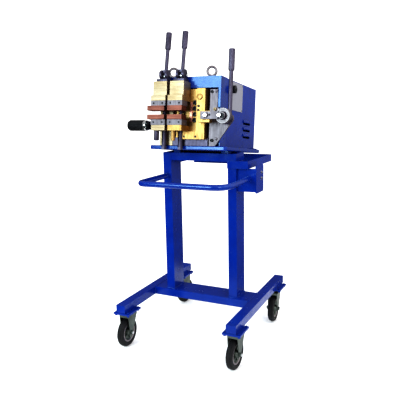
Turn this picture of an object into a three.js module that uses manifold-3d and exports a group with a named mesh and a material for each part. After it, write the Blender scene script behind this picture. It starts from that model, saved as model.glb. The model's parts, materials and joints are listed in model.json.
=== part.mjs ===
// Lever-operated resistance butt welder on a blue four-caster trolley.
// Millimetres, +Z up, the operator stands at -Y, +X is to the operator's right.
import * as THREE from "three";
import { mergeVertices } from "three/addons/utils/BufferGeometryUtils.js";
import Module from "manifold-3d";

// ---------------------------------------------------------------- trolley
const GAP = 0.3; // clearance left between touching pieces
const WALL = 3; // wall of every square tube

const RAIL_X = 301; // centre line of each floor rail
const RAIL_W = 50;
const RAIL_H = 42;
const RAIL_FRONT_Y = -635;
const RAIL_REAR_Y = 118;
const RAIL_TOP_Z = 232;

const PAD_W = 92; // welded plate that carries a caster
const PAD_L = 115;
const PAD_T = 8;
const LEFT_CASTER_X = -296;
const RIGHT_CASTER_X = 304;
const FRONT_PAD_Y = -582;
const REAR_PAD_Y = 42;
const PAD_BOLT_X = 36;
const PAD_BOLT_Y = 47;

const BEAM_FRONT_Y = -328;
const BEAM_REAR_Y = -202;

const POST_X = 183;
const POST_W = 46;
const POST_FRONT_Y = -314;
const POST_REAR_Y = -204;

const MEMBER_H = 40; // tube across the post tops
const MEMBER_TOP_Z = 981.5;

const RING_TOP_Z = 947; // flat-bar frame under the back of the machine
const RING_BOTTOM_Z = 909.5;
const RING_T = 7;
const RING_RIGHT_X = 269;
const RING_REAR_Y = 54;

const BRACKET_RIGHT_X = 306; // angle plate that holds the handle's right end
const BRACKET_T = 6;
const BRACKET_FRONT_Y = -300;
const BRACKET_REAR_Y = -190;
const BRACKET_BOTTOM_Z = 793;
const BRACKET_TOP_Z = 909;

const HANDLE_R = 14;
const HANDLE_Z = 859;
const HANDLE_FRONT_Y = -606;
const HANDLE_LEFT_X = -184;
const HANDLE_RIGHT_X = 268;
const HANDLE_LEFT_BEND = 48;
const HANDLE_RIGHT_BEND = 85;

// ---------------------------------------------------------------- casters
const WHEEL_R = 75;
const TYRE_W = 34;
const RIM_R = 50;
const CASTER_TRAIL = 31;
const FRONT_SWIVEL_Y = -561;
const REAR_SWIVEL_Y = 29;
const AXLE_R = 6;
const FORK_T = 4;
const FORK_INNER = 24; // half the clear width between the fork legs
const ROUND = 32; // segments of wheels

// ---------------------------------------------------------------- head
// Head parts are drawn in their own axes: x leftwards negative from the base
// plate's right edge, y back from its front edge, z up from its underside.
const HEAD_TILT = THREE.MathUtils.degToRad(-6.8);
const HEAD_ORIGIN = [188, -400, 1005.5];

const BASE_W = 425;
const BASE_D = 500;
const BASE_T = 20;
const ON_BASE = BASE_T + GAP;

const SHEET = 2;
const CAB_LEFT = -400;
const CAB_RIGHT = -40;
const CAB_FRONT = 85;
const CAB_REAR = 505;
const CAB_TOP = 355;

const EYE_X = [-352, -135];
const EYE_Y = 105;
const EYE_TURN = THREE.MathUtils.degToRad(25);

const HOOD_LEFT = -350;
const HOOD_FRONT = 5;
const HOOD_RIM_BOTTOM = 302;
const HOOD_TOP = 357;
const HOOD_SHEET = 3;

const LEFT_CLAMP_X = -330;
const RIGHT_CLAMP_X = -238;
const CLAMP_HALF = 36;
const ROD_Y = -18; // centre of each clamp's pull rod
const ROD_R = 8;
const ROD_BORE_R = 8.6;
const LEDGE_BOTTOM = 90;
const LEDGE_TOP = 116;
const COLUMN_TOP = 298;
const JAW_GAP = 19; // open height between the electrodes

const CAM_R = 23;
const CAM_PIVOT_Z = 359;
const CAM_OFFSET_Y = -7.8;
const CAM_OFFSET_Z = 6;
const PIN_R = 5;

const SHAFT_X = 7; // axis of the feed lever's shaft
const SHAFT_Z = 153.57;
const SHAFT_R = 13;
const DRUM_FRONT_Y = -44.5;
const JOURNAL_X = 3; // eccentric journal, 8 mm off the shaft's axis
const JOURNAL_Z = 160.5;
const JOURNAL_R = 18;
const LINK_PIN_X = -80;
const LINK_PIN_Z = 163;
const LINK_PIN_R = 7;
const LEVER_Y = 21;
const LEVER_X = 4;
const LEVER_BOSS = 16; // length of the lever's boss along the shaft
const LEVER_LEAN = THREE.MathUtils.degToRad(-6); // clamp levers rest leaning back

const PLATEN_RIGHT = -107;
const PLATEN_BOTTOM = 51.8;
const KNOB_Y = 16;
const KNOB_Z = 120;
const DIAL_Y = 136;
const DIAL_Z = 308;

// ---------------------------------------------------------------- helpers
const wasm = await Module();
wasm.setup();

function toManifold(geometry) {
  const bare = new THREE.BufferGeometry();
  bare.setAttribute("position", geometry.getAttribute("position").clone());
  if (geometry.index) bare.setIndex(geometry.index.clone());
  const welded = mergeVertices(bare, 1e-4);
  return new wasm.Manifold(
    new wasm.Mesh({
      numProp: 3,
      vertProperties: new Float32Array(welded.getAttribute("position").array),
      triVerts: new Uint32Array(welded.index.array),
    }),
  );
}

function fromManifold(solid) {
  const mesh = solid.getMesh();
  const geometry = new THREE.BufferGeometry();
  geometry.setAttribute("position", new THREE.BufferAttribute(mesh.vertProperties, 3));
  geometry.setIndex(new THREE.BufferAttribute(mesh.triVerts, 1));
  return geometry;
}

function join(...geometries) {
  const solids = geometries.map(toManifold);
  return fromManifold(solids.reduce((sum, next) => sum.add(next)));
}

function cut(geometry, ...tools) {
  const start = toManifold(geometry);
  return fromManifold(tools.map(toManifold).reduce((rest, tool) => rest.subtract(tool), start));
}

function box(x0, x1, y0, y1, z0, z1) {
  const geometry = new THREE.BoxGeometry(x1 - x0, y1 - y0, z1 - z0);
  return geometry.translate((x0 + x1) / 2, (y0 + y1) / 2, (z0 + z1) / 2);
}

function polygon(points) {
  return new THREE.Shape(points.map(([a, b]) => new THREE.Vector2(a, b)));
}

function roundedRect(x0, x1, y0, y1, radius) {
  const shape = new THREE.Shape();
  shape.moveTo(x0 + radius, y0);
  shape.lineTo(x1 - radius, y0);
  shape.absarc(x1 - radius, y0 + radius, radius, -Math.PI / 2, 0);
  shape.lineTo(x1, y1 - radius);
  shape.absarc(x1 - radius, y1 - radius, radius, 0, Math.PI / 2);
  shape.lineTo(x0 + radius, y1);
  shape.absarc(x0 + radius, y1 - radius, radius, Math.PI / 2, Math.PI);
  shape.lineTo(x0, y0 + radius);
  shape.absarc(x0 + radius, y0 + radius, radius, Math.PI, 1.5 * Math.PI);
  return shape;
}

// Shape drawn in x and y, raised from z0 to z1.
function prismZ(shape, z0, z1, curveSegments = 6) {
  const options = { depth: z1 - z0, bevelEnabled: false, curveSegments };
  return new THREE.ExtrudeGeometry(shape, options).translate(0, 0, z0);
}

// Shape drawn in y and z, run from x0 to x1.
function prismX(shape, x0, x1, curveSegments = 6) {
  const turn = new THREE.Matrix4().makeBasis(
    new THREE.Vector3(0, 1, 0),
    new THREE.Vector3(0, 0, 1),
    new THREE.Vector3(1, 0, 0),
  );
  return prismZ(shape, x0, x1, curveSegments).applyMatrix4(turn);
}

// Shape drawn in x and z, run from y0 to y1.
function prismY(shape, y0, y1, curveSegments = 6) {
  const turn = new THREE.Matrix4().makeBasis(
    new THREE.Vector3(1, 0, 0),
    new THREE.Vector3(0, 0, 1),
    new THREE.Vector3(0, -1, 0),
  );
  return prismZ(shape, -y1, -y0, curveSegments).applyMatrix4(turn);
}

function rodZ(x, y, radius, z0, z1, segments = 24) {
  const geometry = new THREE.CylinderGeometry(radius, radius, z1 - z0, segments);
  return geometry.rotateX(Math.PI / 2).translate(x, y, (z0 + z1) / 2);
}

function rodX(y, z, radius, x0, x1, segments = 24) {
  const geometry = new THREE.CylinderGeometry(radius, radius, x1 - x0, segments);
  return geometry.rotateZ(Math.PI / 2).translate((x0 + x1) / 2, y, z);
}

function rodY(x, z, radius, y0, y1, segments = 24) {
  const geometry = new THREE.CylinderGeometry(radius, radius, y1 - y0, segments);
  return geometry.translate(x, (y0 + y1) / 2, z);
}

function latheZ(profile, segments) {
  const points = profile.map(([radius, height]) => new THREE.Vector2(radius, height));
  return new THREE.LatheGeometry(points, segments).rotateX(Math.PI / 2);
}

function hex(acrossFlats) {
  const radius = acrossFlats / Math.sqrt(3);
  const corners = [0, 1, 2, 3, 4, 5].map((i) => {
    const angle = (i * Math.PI) / 3;
    return [radius * Math.cos(angle), radius * Math.sin(angle)];
  });
  return polygon(corners);
}

// Round outline with shallow lengthwise flutes, as on a turned hand grip.
function fluted(outer, depth, flutes) {
  const points = [];
  for (let i = 0; i < flutes * 4; i += 1) {
    const angle = (i / (flutes * 4)) * 2 * Math.PI;
    const radius = i % 4 === 0 ? outer - depth : outer;
    points.push([radius * Math.cos(angle), radius * Math.sin(angle)]);
  }
  return polygon(points);
}

const group = new THREE.Group();
group.name = "butt_welder_trolley";

function add(name, geometry, look) {
  const material = new THREE.MeshStandardMaterial(look);
  const mesh = new THREE.Mesh(geometry, material);
  mesh.name = name;
  group.add(mesh);
}

const BLUE = { color: 0x1238b8, roughness: 0.25, metalness: 0.1 };
const PANEL = { color: 0x8d8d96, roughness: 0.45, metalness: 0.3 };
const STEEL = { color: 0x9a9aa2, roughness: 0.38, metalness: 0.9 };
const ZINC = { color: 0xb9bcb4, roughness: 0.35, metalness: 0.9 };
const BRASS = { color: 0xd9ad4f, roughness: 0.3, metalness: 1 };
const COPPER = { color: 0xc4715a, roughness: 0.35, metalness: 1 };
const BLACK = { color: 0x1b1b1d, roughness: 0.45, metalness: 0 };
const RUBBER = { color: 0x18181a, roughness: 0.75, metalness: 0 };
const DARK_STEEL = { color: 0x3a3a42, roughness: 0.5, metalness: 0.7 };

const headTurn = new THREE.Matrix4().makeRotationX(HEAD_TILT).setPosition(...HEAD_ORIGIN);

function addHead(name, geometry, look) {
  add(name, geometry.applyMatrix4(headTurn), look);
}

// ---------------------------------------------------------------- trolley parts
const RAIL_BOTTOM_Z = RAIL_TOP_Z - RAIL_H;
const PAD_BOTTOM_Z = RAIL_BOTTOM_Z - PAD_T;

function casterPad(x, y) {
  const plate = box(x - PAD_W / 2, x + PAD_W / 2, y - PAD_L / 2, y + PAD_L / 2, PAD_BOTTOM_Z, RAIL_BOTTOM_Z + 0.5);
  const pieces = [plate];
  for (const dx of [-PAD_BOLT_X, PAD_BOLT_X]) {
    for (const dy of [-PAD_BOLT_Y, PAD_BOLT_Y]) {
      const head = prismZ(hex(13), PAD_BOTTOM_Z - 7, PAD_BOTTOM_Z + 1).translate(x + dx, y + dy, 0);
      pieces.push(head);
      pieces.push(rodZ(x + dx, y + dy, 4, RAIL_BOTTOM_Z, RAIL_BOTTOM_Z + 6, 12));
    }
  }
  return join(...pieces);
}

function rail(side) {
  const x = side * RAIL_X;
  const padX = side > 0 ? RIGHT_CASTER_X : LEFT_CASTER_X;
  const outer = box(x - RAIL_W / 2, x + RAIL_W / 2, RAIL_FRONT_Y, RAIL_REAR_Y, RAIL_BOTTOM_Z, RAIL_TOP_Z);
  const hollow = box(
    x - RAIL_W / 2 + WALL,
    x + RAIL_W / 2 - WALL,
    RAIL_FRONT_Y + WALL,
    RAIL_REAR_Y - WALL,
    RAIL_BOTTOM_Z + WALL,
    RAIL_TOP_Z - WALL,
  );
  const body = join(outer, casterPad(padX, FRONT_PAD_Y), casterPad(padX, REAR_PAD_Y));
  const drain = rodZ(x, -150, 6, RAIL_BOTTOM_Z - 5, RAIL_BOTTOM_Z + 10, 16);
  return cut(body, hollow, drain);
}

function crossBeam() {
  const end = RAIL_X - RAIL_W / 2 - GAP;
  const outer = box(-end, end, BEAM_FRONT_Y, BEAM_REAR_Y, RAIL_BOTTOM_Z, RAIL_TOP_Z);
  const hollow = box(
    -end - 5,
    end + 5,
    BEAM_FRONT_Y + WALL,
    BEAM_REAR_Y - WALL,
    RAIL_BOTTOM_Z + WALL,
    RAIL_TOP_Z - WALL,
  );
  return cut(outer, hollow);
}

function post(side, top) {
  const x = side * POST_X;
  const base = RAIL_TOP_Z + GAP;
  const outer = box(x - POST_W / 2, x + POST_W / 2, POST_FRONT_Y, POST_REAR_Y, base, top);
  const hollow = box(
    x - POST_W / 2 + WALL,
    x + POST_W / 2 - WALL,
    POST_FRONT_Y + WALL,
    POST_REAR_Y - WALL,
    base - 5,
    top - WALL,
  );
  return cut(outer, hollow);
}

// Underside of the tilted base plate at a given place along y.
function baseUndersideZ(y) {
  return HEAD_ORIGIN[2] + (y - HEAD_ORIGIN[1]) * Math.tan(HEAD_TILT);
}

function wedge(x0, x1) {
  const frontY = POST_FRONT_Y + 12;
  const rearY = POST_REAR_Y - 30;
  const outline = polygon([
    [frontY, MEMBER_TOP_Z - 1],
    [rearY, MEMBER_TOP_Z - 1],
    [rearY, baseUndersideZ(rearY) - 0.4],
    [frontY, baseUndersideZ(frontY) - 0.4],
  ]);
  return prismX(outline, x0, x1);
}

function topMember() {
  const left = -POST_X + POST_W / 2 + GAP;
  const right = POST_X + POST_W / 2;
  const bottom = MEMBER_TOP_Z - MEMBER_H;
  const outer = box(left, right, POST_FRONT_Y, POST_REAR_Y, bottom, MEMBER_TOP_Z);
  const hollow = box(
    left - 5,
    right - WALL,
    POST_FRONT_Y + WALL,
    POST_REAR_Y - WALL,
    bottom + WALL,
    MEMBER_TOP_Z - WALL,
  );
  return cut(join(outer, wedge(-150, -110), wedge(120, 160)), hollow);
}

// Front and right sides of the flat-bar frame, bent from one bar.
function ringFrontRight() {
  const frontY = POST_FRONT_Y - GAP - RING_T;
  const left = POST_X - POST_W / 2;
  const front = box(left, RING_RIGHT_X, frontY, frontY + RING_T, RING_BOTTOM_Z, RING_TOP_Z);
  const side = box(
    RING_RIGHT_X - RING_T,
    RING_RIGHT_X,
    frontY + 1,
    RING_REAR_Y,
    RING_BOTTOM_Z,
    RING_TOP_Z,
  );
  return join(front, side);
}

// Left and rear sides of the flat-bar frame.
function ringLeftRear() {
  const left = -POST_X - POST_W / 2;
  const side = box(left, left + RING_T, POST_REAR_Y + GAP, RING_REAR_Y, RING_BOTTOM_Z, RING_TOP_Z);
  const rear = box(
    left + 1,
    RING_RIGHT_X - RING_T - GAP,
    RING_REAR_Y - RING_T,
    RING_REAR_Y,
    RING_BOTTOM_Z,
    RING_TOP_Z,
  );
  const web = box(left + 1, 176, RING_REAR_Y - RING_T, RING_REAR_Y, RING_BOTTOM_Z - 22, RING_BOTTOM_Z + 1);
  return join(side, rear, web);
}

function handleBracket() {
  const left = POST_X + POST_W / 2 + GAP;
  const front = prismY(
    roundedRect(left, BRACKET_RIGHT_X, BRACKET_BOTTOM_Z, BRACKET_TOP_Z, 5),
    BRACKET_FRONT_Y,
    BRACKET_FRONT_Y + BRACKET_T,
  );
  const side = prismX(
    roundedRect(BRACKET_FRONT_Y + 1, BRACKET_REAR_Y, BRACKET_BOTTOM_Z - 8, BRACKET_TOP_Z + 14, 12),
    BRACKET_RIGHT_X - BRACKET_T,
    BRACKET_RIGHT_X,
  );
  const holes = [855, 885].map((z) => rodX(-225, z, 5, BRACKET_RIGHT_X - 20, BRACKET_RIGHT_X + 20, 12));
  return cut(join(front, side), ...holes);
}

function pushHandle() {
  const at = (x, y) => new THREE.Vector3(x, y, HANDLE_Z);
  const leftEnd = at(HANDLE_LEFT_X, POST_FRONT_Y - GAP);
  const leftBend = at(HANDLE_LEFT_X, HANDLE_FRONT_Y + HANDLE_LEFT_BEND);
  const leftCorner = at(HANDLE_LEFT_X, HANDLE_FRONT_Y);
  const frontLeft = at(HANDLE_LEFT_X + HANDLE_LEFT_BEND, HANDLE_FRONT_Y);
  const frontRight = at(HANDLE_RIGHT_X - HANDLE_RIGHT_BEND, HANDLE_FRONT_Y);
  const rightCorner = at(HANDLE_RIGHT_X, HANDLE_FRONT_Y);
  const rightBend = at(HANDLE_RIGHT_X, HANDLE_FRONT_Y + HANDLE_RIGHT_BEND);
  const rightEnd = at(HANDLE_RIGHT_X, BRACKET_FRONT_Y - GAP);
  const path = new THREE.CurvePath();
  path.add(new THREE.LineCurve3(leftEnd, leftBend));
  path.add(new THREE.QuadraticBezierCurve3(leftBend, leftCorner, frontLeft));
  path.add(new THREE.LineCurve3(frontLeft, frontRight));
  path.add(new THREE.QuadraticBezierCurve3(frontRight, rightCorner, rightBend));
  path.add(new THREE.LineCurve3(rightBend, rightEnd));
  const section = new THREE.Shape();
  section.absarc(0, 0, HANDLE_R, 0, 2 * Math.PI);
  return new THREE.ExtrudeGeometry(section, { steps: 44, extrudePath: path, curveSegments: 6 });
}

add("left_rail", rail(-1), BLUE);
add("right_rail", rail(1), BLUE);
add("cross_beam", crossBeam(), BLUE);
add("left_post", post(-1, MEMBER_TOP_Z), BLUE);
add("right_post", post(1, MEMBER_TOP_Z - MEMBER_H - GAP), BLUE);
add("top_member", topMember(), BLUE);
add("ring_front_right", ringFrontRight(), BLUE);
add("ring_left_rear", ringLeftRear(), BLUE);
add("handle_bracket", handleBracket(), BLUE);
add("push_handle", pushHandle(), BLUE);

// ---------------------------------------------------------------- casters
// Drawn with the swivel axis at the origin and the wheel trailing towards -y.
function casterFork() {
  const crownTop = PAD_BOTTOM_Z - 12;
  const crownBottom = WHEEL_R * 2 + 8;
  const race = latheZ(
    [
      [0, crownTop - 1],
      [28, crownTop - 1],
      [28, crownTop + 5],
      [22, crownTop + 8],
      [22, PAD_BOTTOM_Z - GAP],
      [0, PAD_BOTTOM_Z - GAP],
    ],
    ROUND,
  );
  const reach = FORK_INNER + FORK_T;
  const crown = box(-reach, reach, -CASTER_TRAIL - 22, 24, crownBottom, crownTop);
  const legShape = polygon([
    [-CASTER_TRAIL - 13, WHEEL_R - 12],
    [-CASTER_TRAIL + 13, WHEEL_R - 12],
    [-CASTER_TRAIL + 17, WHEEL_R + 8],
    [24, crownBottom + 6],
    [24, crownTop],
    [-CASTER_TRAIL - 22, crownTop],
    [-CASTER_TRAIL - 22, crownBottom],
    [-CASTER_TRAIL - 15, WHEEL_R + 8],
  ]);
  const legs = [prismX(legShape, -reach, -FORK_INNER), prismX(legShape, FORK_INNER, reach)];
  const axle = rodX(-CASTER_TRAIL, WHEEL_R, AXLE_R, -reach - 2, reach + 2, 20);
  const head = prismX(hex(17), reach, reach + 7).translate(0, -CASTER_TRAIL, WHEEL_R);
  const nut = prismX(hex(17), -reach - 9, -reach).translate(0, -CASTER_TRAIL, WHEEL_R);
  return join(race, crown, ...legs, axle, head, nut);
}

// Wheel parts are drawn around the z axis, then laid over so they spin about x.
function wheelPart(profile) {
  const geometry = latheZ(profile, ROUND).rotateY(Math.PI / 2);
  return geometry.translate(0, -CASTER_TRAIL, WHEEL_R);
}

function tyre() {
  const half = TYRE_W / 2;
  return wheelPart([
    [RIM_R, -half + 4],
    [WHEEL_R - 12, -half],
    [WHEEL_R - 4, -half + 4],
    [WHEEL_R, -half + 11],
    [WHEEL_R, half - 11],
    [WHEEL_R - 4, half - 4],
    [WHEEL_R - 12, half],
    [RIM_R, half - 4],
    [RIM_R, -half + 4],
  ]);
}

function wheelHub() {
  const rim = RIM_R - GAP;
  const half = TYRE_W / 2 - 4;
  const bore = AXLE_R + 0.4;
  const boss = FORK_INNER - 1.5;
  return wheelPart([
    [bore, -boss],
    [18, -boss],
    [20, -7],
    [37, -5],
    [rim, -half],
    [rim, half],
    [37, 5],
    [20, 7],
    [18, boss],
    [bore, boss],
    [bore, -boss],
  ]);
}

const CASTERS = [
  ["front_left", LEFT_CASTER_X, FRONT_SWIVEL_Y, 0],
  ["front_right", RIGHT_CASTER_X, FRONT_SWIVEL_Y, -3],
  ["rear_left", LEFT_CASTER_X, REAR_SWIVEL_Y, 175],
  ["rear_right", RIGHT_CASTER_X, REAR_SWIVEL_Y, 3],
];

for (const [corner, x, y, degrees] of CASTERS) {
  const place = new THREE.Matrix4()
    .makeRotationZ(THREE.MathUtils.degToRad(degrees))
    .setPosition(x, y, 0);
  add(`caster_fork_${corner}`, casterFork().applyMatrix4(place), ZINC);
  add(`tyre_${corner}`, tyre().applyMatrix4(place), RUBBER);
  add(`wheel_hub_${corner}`, wheelHub().applyMatrix4(place), ZINC);
}

// ---------------------------------------------------------------- head body
function basePlate() {
  const options = { depth: BASE_T - 8, bevelEnabled: true, bevelThickness: 4, bevelSize: 4, bevelSegments: 2 };
  const shape = roundedRect(-BASE_W + 4, -4, 4, BASE_D - 4, 12);
  return new THREE.ExtrudeGeometry(shape, { ...options, curveSegments: 5 }).translate(0, 0, 4);
}

// One raised vent blade with the slot under it, on the cabinet's side.
function louvre(side, z) {
  const wall = side > 0 ? CAB_RIGHT : CAB_LEFT;
  const blade = prismY(
    polygon([
      [wall - side * 1, z + 11],
      [wall + side * 7, z - 9],
      [wall + side * 7, z - 11],
      [wall - side * 1, z - 11],
    ]),
    320,
    430,
  );
  return blade;
}

function louvreSlot(side, z) {
  const wall = side > 0 ? CAB_RIGHT : CAB_LEFT;
  const x0 = Math.min(wall - side * 10, wall + side * 5);
  const x1 = Math.max(wall - side * 10, wall + side * 5);
  return box(x0, x1, 324, 426, z - 20, z - 6);
}

function cabinetShell() {
  const outer = box(CAB_LEFT, CAB_RIGHT, CAB_FRONT, CAB_REAR, ON_BASE, CAB_TOP);
  const hollow = box(
    CAB_LEFT + SHEET,
    CAB_RIGHT - SHEET,
    CAB_FRONT + SHEET,
    CAB_REAR + 10,
    ON_BASE - 10,
    CAB_TOP - SHEET,
  );
  const copperWindow = box(-292, -140, CAB_FRONT - 5, CAB_FRONT + 10, 150, 216);
  const dialHole = rodX(DIAL_Y, DIAL_Z, 5, CAB_RIGHT - 10, CAB_RIGHT + 10, 16);
  const heights = [168, 132, 96];
  const sides = [-1, 1];
  const blades = sides.flatMap((side) => heights.map((z) => louvre(side, z)));
  const slots = sides.flatMap((side) => heights.map((z) => louvreSlot(side, z)));
  const feet = [
    box(CAB_RIGHT - 1, CAB_RIGHT + 20, 470, 500, ON_BASE, ON_BASE + 5),
    box(CAB_LEFT - 20, CAB_LEFT + 1, 470, 500, ON_BASE, ON_BASE + 5),
  ];
  const eyeHoles = EYE_X.map((x) => rodZ(x, EYE_Y, 6.4, CAB_TOP - 10, CAB_TOP + 10, 16));
  const shell = join(cut(outer, hollow), ...blades, ...feet);
  return cut(shell, copperWindow, dialHole, ...slots, ...eyeHoles);
}

function backPanel() {
  const panel = box(
    CAB_LEFT + SHEET + GAP,
    CAB_RIGHT - SHEET - GAP,
    CAB_REAR - 8,
    CAB_REAR - 5,
    ON_BASE,
    CAB_TOP - SHEET - GAP,
  );
  const glandHole = rodY(-330, 70, 12, CAB_REAR - 20, CAB_REAR + 10, 24);
  return cut(panel, glandHole);
}

function hood() {
  const rear = CAB_FRONT - GAP;
  const top = box(HOOD_LEFT, CAB_RIGHT, HOOD_FRONT, rear, HOOD_TOP - HOOD_SHEET, HOOD_TOP);
  const rim = box(HOOD_LEFT, CAB_RIGHT, HOOD_FRONT, HOOD_FRONT + HOOD_SHEET, HOOD_RIM_BOTTOM, HOOD_TOP);
  const leftCheek = box(HOOD_LEFT, HOOD_LEFT + HOOD_SHEET, HOOD_FRONT, rear, HOOD_RIM_BOTTOM, HOOD_TOP);
  const rightCheek = box(CAB_RIGHT - HOOD_SHEET, CAB_RIGHT, 11, rear, ON_BASE, HOOD_TOP);
  const flange = box(CAB_RIGHT - 12, CAB_RIGHT, HOOD_FRONT, HOOD_FRONT + HOOD_SHEET, 208, HOOD_TOP);
  const cheekTop = box(CAB_RIGHT - HOOD_SHEET, CAB_RIGHT, HOOD_FRONT, 12, 208, HOOD_TOP);
  return join(top, rim, leftCheek, rightCheek, flange, cheekTop);
}

function controlPanel() {
  const x0 = CAB_RIGHT + GAP;
  const plate = prismX(roundedRect(116, 292, 208, 350, 3), x0, x0 + 2.5);
  return cut(plate, rodX(DIAL_Y, DIAL_Z, 5, x0 - 5, x0 + 10, 16));
}

function selectorKnob() {
  const face = CAB_RIGHT + GAP + 2.5 + GAP;
  const body = prismX(fluted(19.5, 1.2, 8), face, face + 22).translate(0, DIAL_Y, DIAL_Z);
  const spindle = rodX(DIAL_Y, DIAL_Z, 3, CAB_RIGHT - 30, face + 1, 16);
  return join(body, spindle);
}

function tapSwitch() {
  const right = CAB_RIGHT - SHEET - GAP;
  const body = box(right - 52, right, DIAL_Y - 27, DIAL_Y + 27, DIAL_Z - 27, DIAL_Z + 27);
  const wafer = rodX(DIAL_Y, DIAL_Z, 22, right - 78, right - 50, 24);
  const bore = rodX(DIAL_Y, DIAL_Z, 3.5, right - 40, right + 5, 16);
  return cut(join(body, wafer), bore);
}

// Lifting ring on a threaded stem through the cabinet top.
function eyeBolt(x) {
  const ring = new THREE.TorusGeometry(22.5, 6, 8, 24)
    .rotateX(Math.PI / 2)
    .rotateZ(EYE_TURN)
    .translate(x, EYE_Y, CAB_TOP + 42);
  const collar = rodZ(x, EYE_Y, 15, CAB_TOP + GAP, CAB_TOP + 9, 24);
  const neck = rodZ(x, EYE_Y, 8, CAB_TOP + 5, CAB_TOP + 19, 20);
  const stem = rodZ(x, EYE_Y, 5.5, CAB_TOP - 30, CAB_TOP + 3, 16);
  return join(ring, collar, neck, stem);
}

addHead("base_plate", basePlate(), BLUE);
addHead("cabinet_shell", cabinetShell(), BLUE);
addHead("back_panel", backPanel(), BLUE);
addHead("hood", hood(), BLUE);
addHead("control_panel", controlPanel(), PANEL);
addHead("selector_knob", selectorKnob(), BLACK);
addHead("tap_switch", tapSwitch(), BLACK);
addHead("eye_bolt_left", eyeBolt(EYE_X[0]), ZINC);
addHead("eye_bolt_right", eyeBolt(EYE_X[1]), ZINC);

// ---------------------------------------------------------------- inside the cabinet
const CORE_X = -220;

function transformerCore() {
  const outline = polygon([
    [CORE_X - 100, 60],
    [CORE_X + 100, 60],
    [CORE_X + 100, 240],
    [CORE_X - 100, 240],
  ]);
  const core = prismY(outline, 200, 290);
  const windows = [-1, 1].map((side) => {
    const inner = CORE_X + side * 25;
    const outer = CORE_X + side * 68;
    return box(Math.min(inner, outer), Math.max(inner, outer), 190, 300, 95, 205);
  });
  const feet = [-1, 1].map((side) => {
    const x = CORE_X + side * 84;
    return box(x - 16, x + 16, 205, 285, ON_BASE, 61);
  });
  return join(cut(core, ...windows), ...feet);
}

function coilRing(z0, z1) {
  const outer = prismZ(roundedRect(CORE_X - 57, CORE_X + 57, 168, 322, 14), z0, z1);
  const inner = prismZ(roundedRect(CORE_X - 27, CORE_X + 27, 197, 293, 2), z0 - 5, z1 + 5);
  return cut(outer, inner);
}

function primaryCoil() {
  return coilRing(98, 160);
}

// Single heavy copper turn whose two ends run forward to the clamps.
function secondaryLoop() {
  const split = box(CORE_X - 6, CORE_X + 6, 150, 205, 160, 210);
  const leftLead = box(CORE_X - 57, CORE_X - 27, 60, 190, 165, 201);
  const rightLead = box(CORE_X + 27, CORE_X + 57, 70.3, 190, 165, 201);
  const leftFoot = box(-350, CORE_X - 27, 40.4, 62, 165, 201);
  return join(cut(coilRing(165, 201), split), leftLead, rightLead, leftFoot);
}

// Flexible leaf strap, a U lying on its side between the loop and the platen.
function flexibleShunt() {
  const shape = new THREE.Shape();
  shape.moveTo(-193, 70);
  shape.lineTo(-193, 62.3);
  shape.lineTo(-150, 62.3);
  shape.absarc(-150, 55.2, 7.1, Math.PI / 2, -Math.PI / 2, true);
  shape.lineTo(-193, 48.1);
  shape.lineTo(-193, 40.4);
  shape.lineTo(-150, 40.4);
  shape.absarc(-150, 55.2, 14.8, -Math.PI / 2, Math.PI / 2, false);
  shape.lineTo(-193, 70);
  return prismZ(shape, 160, 206, 10);
}

function contactor() {
  const body = box(-150, -82, 390, 470, ON_BASE + 8, 112);
  const foot = box(-155, -77, 385, 475, ON_BASE, ON_BASE + 9);
  const crown = box(-140, -92, 405, 455, 110, 126);
  return join(body, foot, crown);
}

function cableGland() {
  const flange = prismY(hex(34), CAB_REAR - 5 + GAP, CAB_REAR + 6).translate(-330, 0, 70);
  const sleeve = rodY(-330, 70, 11.4, CAB_REAR - 20, CAB_REAR, 24);
  const cap = rodY(-330, 70, 14, CAB_REAR + 5, CAB_REAR + 24, 24);
  const bore = rodY(-330, 70, 7, CAB_REAR - 30, CAB_REAR + 40, 20);
  return cut(join(flange, sleeve, cap), bore);
}

addHead("transformer_core", transformerCore(), DARK_STEEL);
addHead("primary_coil", primaryCoil(), COPPER);
addHead("secondary_loop", secondaryLoop(), COPPER);
addHead("flexible_shunt", flexibleShunt(), COPPER);
addHead("contactor", contactor(), BLACK);
addHead("cable_gland", cableGland(), BLACK);

// ---------------------------------------------------------------- clamps
// Column and front ledge shared by both clamps, with bores for the pull rod.
function clampBody(x, columnBottom) {
  const column = box(x - CLAMP_HALF, x + CLAMP_HALF, 2, 40, columnBottom, COLUMN_TOP);
  const ledge = box(x - CLAMP_HALF - 2, x + CLAMP_HALF + 2, -85, 3, LEDGE_BOTTOM, LEDGE_TOP);
  const springHousing = rodZ(x - 20, -60, 11, 42, LEDGE_BOTTOM + 1, 20);
  return [join(column, ledge, springHousing), rodZ(x, ROD_Y, ROD_BORE_R, 60, 140)];
}

function leftClampBody() {
  const [solid, rodBore] = clampBody(LEFT_CLAMP_X, ON_BASE);
  const screwBore = rodX(KNOB_Y, KNOB_Z, 8.6, LEFT_CLAMP_X - 60, LEFT_CLAMP_X + 60);
  return cut(solid, rodBore, screwBore);
}

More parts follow.
